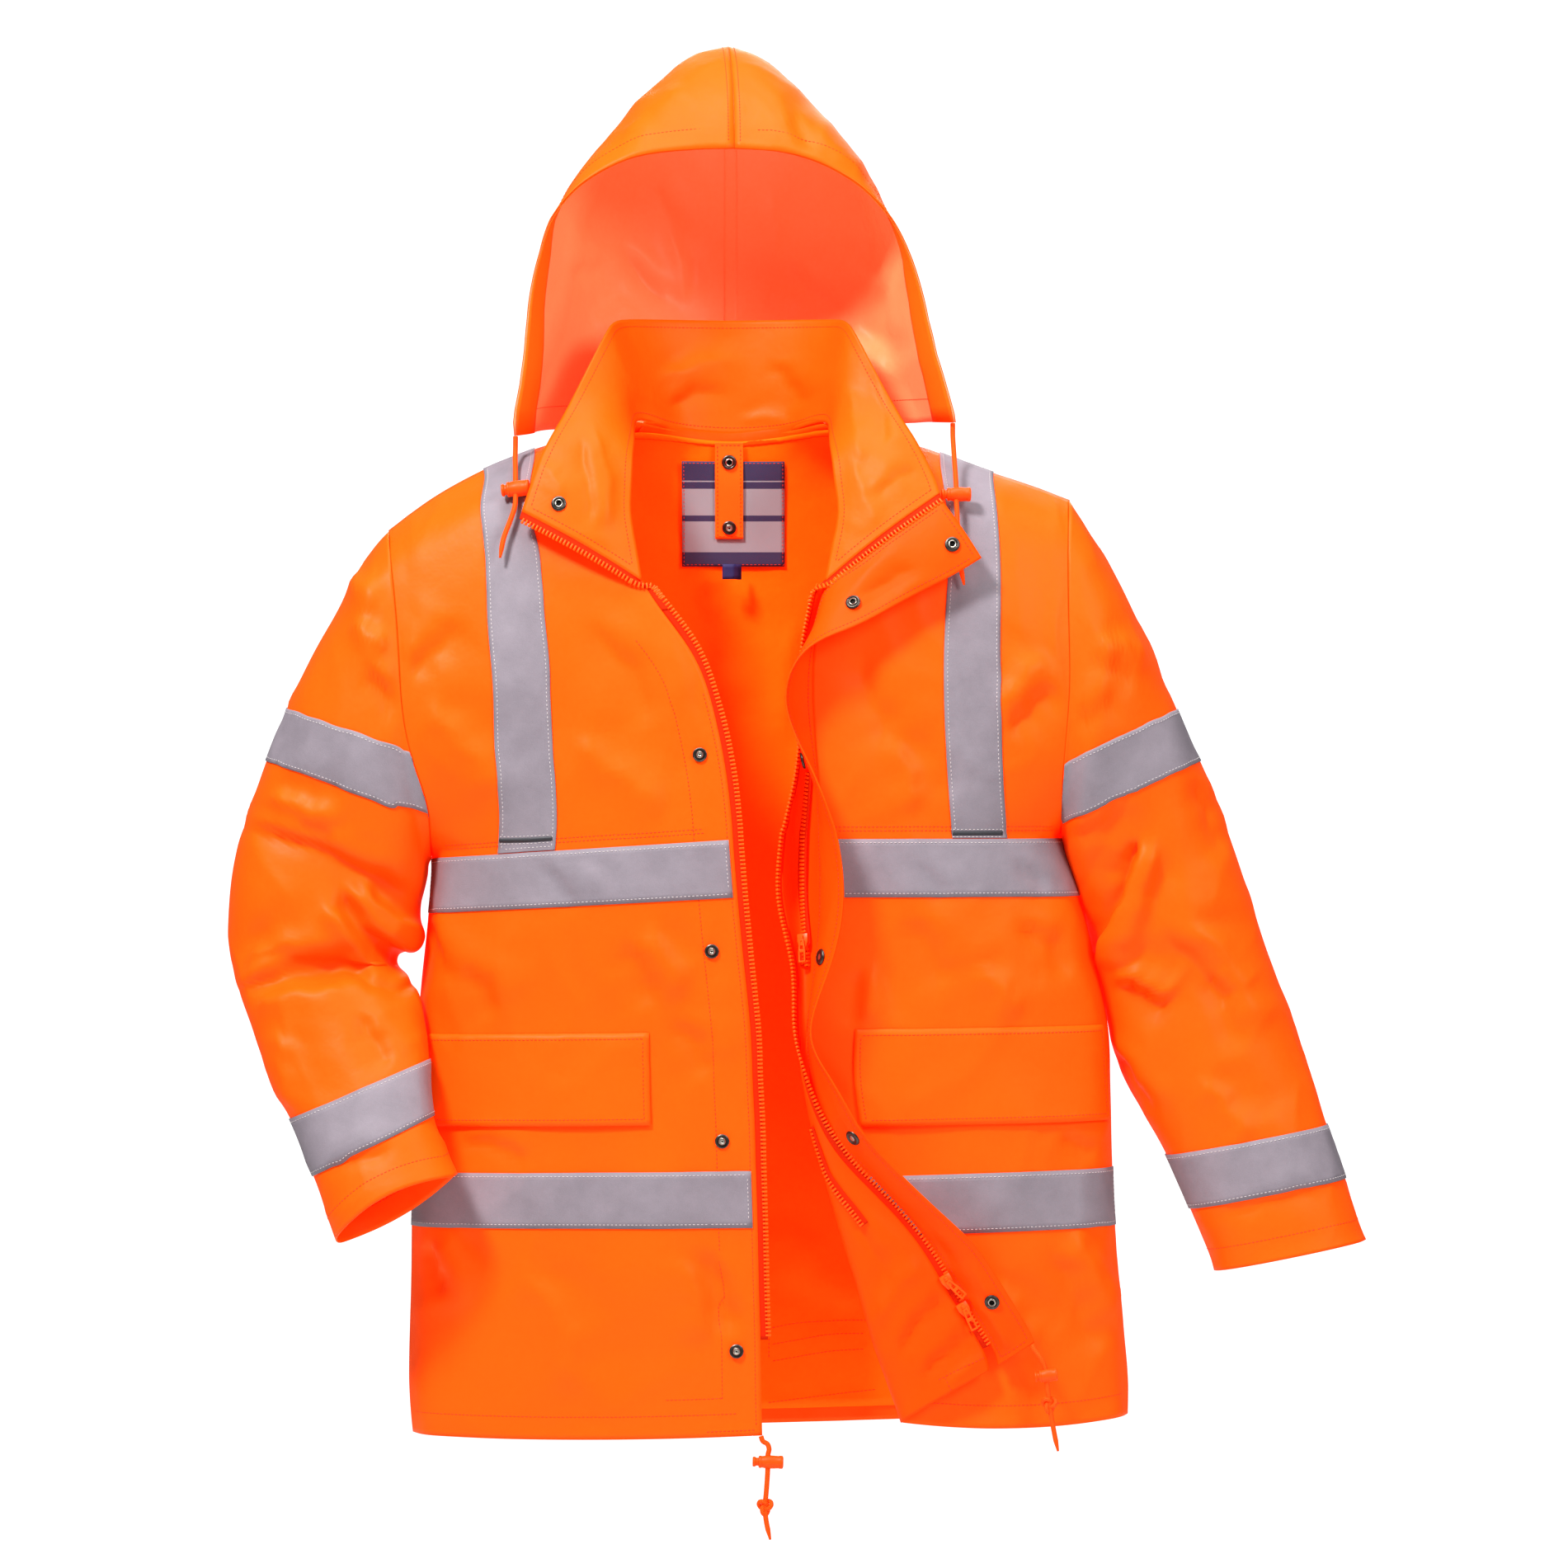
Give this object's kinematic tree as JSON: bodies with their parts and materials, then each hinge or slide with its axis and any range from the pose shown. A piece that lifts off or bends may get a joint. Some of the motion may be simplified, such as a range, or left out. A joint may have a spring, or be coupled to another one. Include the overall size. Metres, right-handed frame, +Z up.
{
  "type": "hooded high-visibility work jacket",
  "caption": "Orange hooded work jacket hanging open as if worn, with reflective tape, a storm flap, zips, snaps and cord toggles; keeps its wearer dry and seen",
  "frame": {"origin": "middle of the neck base, between the two ends of the neck seam, where the wearer holds the jacket up", "axes": "+X towards the wearer's left sleeve, -Y out of the front, +Z up"},
  "size_m": [1.0065, 0.295, 1.3195],
  "materials": {
    "shell_fabric": "coated woven polyester, satin",
    "reflective_tape": "retroreflective tape, sewn",
    "snap_metal": "gunmetal",
    "zip": "moulded plastic on woven tape",
    "cord": "braided cord and plastic toggles",
    "label": "woven label without lettering",
    "lining": "woven lining"
  },
  "bodies": {
    "jacket": {"back": "shell_fabric", "chest_tape_back": "reflective_tape", "chest_tape_left": "reflective_tape", "chest_tape_right": "reflective_tape", "collar": "shell_fabric", "cord_hem_left": "cord", "cord_hem_right": "cord", "cord_hood_left": "cord", "cord_hood_right": "cord", "facing_left": "shell_fabric", "front_left": "shell_fabric", "front_right": "shell_fabric", "hem_tape_back": "reflective_tape", "hem_tape_left": "reflective_tape", "hem_tape_right": "reflective_tape", "hood_casing": "shell_fabric", "hood_left": "shell_fabric", "hood_right": "shell_fabric", "label": "label", "lining_back": "lining", "neck_tab": "shell_fabric", "pocket_flap_left": "shell_fabric", "pocket_flap_right": "shell_fabric", "shoulder_tape_left": "reflective_tape", "shoulder_tape_right": "reflective_tape", "sleeve_left": "shell_fabric", "sleeve_right": "shell_fabric", "sleeve_tape_lower_left": "reflective_tape", "sleeve_tape_lower_right": "reflective_tape", "sleeve_tape_upper_left": "reflective_tape", "sleeve_tape_upper_right": "reflective_tape", "slider_inner": "zip", "slider_lower": "zip", "slider_main": "zip", "snap_collar": "snap_metal", "snap_flap_chest": "snap_metal", "snap_flap_collar": "snap_metal", "snap_flap_hem": "snap_metal", "snap_flap_neck": "snap_metal", "snap_flap_pocket": "snap_metal", "snap_flap_waist": "snap_metal", "snap_front_chest": "snap_metal", "snap_front_hem": "snap_metal", "snap_front_pocket": "snap_metal", "snap_front_waist": "snap_metal", "snap_neck_lower": "snap_metal", "snap_neck_upper": "snap_metal", "storm_flap": "shell_fabric", "toggle_hem_left": "cord", "toggle_hem_right": "cord", "toggle_hood_left": "cord", "toggle_hood_right": "cord", "zip_inner": "zip", "zip_left": "zip", "zip_left_collar": "zip", "zip_right": "zip", "zip_right_collar": "zip"},
    "pull_tab_main_body": {"pull_tab_main": "zip"},
    "pull_tab_lower_body": {"pull_tab_lower": "zip"},
    "pull_tab_inner_body": {"pull_tab_inner": "zip"}
  },
  "joints": [
    {"name": "pull_tab_main_hinge", "type": "hinge", "parent": "jacket", "child": "pull_tab_main_body", "pos_m": [0.1919, -0.09565, -0.71965], "axis": [-0.655, -0.1362, -0.7433], "range_deg": [0, 120]},
    {"name": "pull_tab_lower_hinge", "type": "hinge", "parent": "jacket", "child": "pull_tab_lower_body", "pos_m": [0.2068, -0.09213, -0.74429], "axis": [-0.8738, -0.2004, -0.443], "range_deg": [0, 120]},
    {"name": "pull_tab_inner_hinge", "type": "hinge", "parent": "jacket", "child": "pull_tab_inner_body", "pos_m": [0.06379, -0.08809, -0.42172], "axis": [-0.9071, 0.4019, -0.1254], "range_deg": [0, 120]}
  ]
}
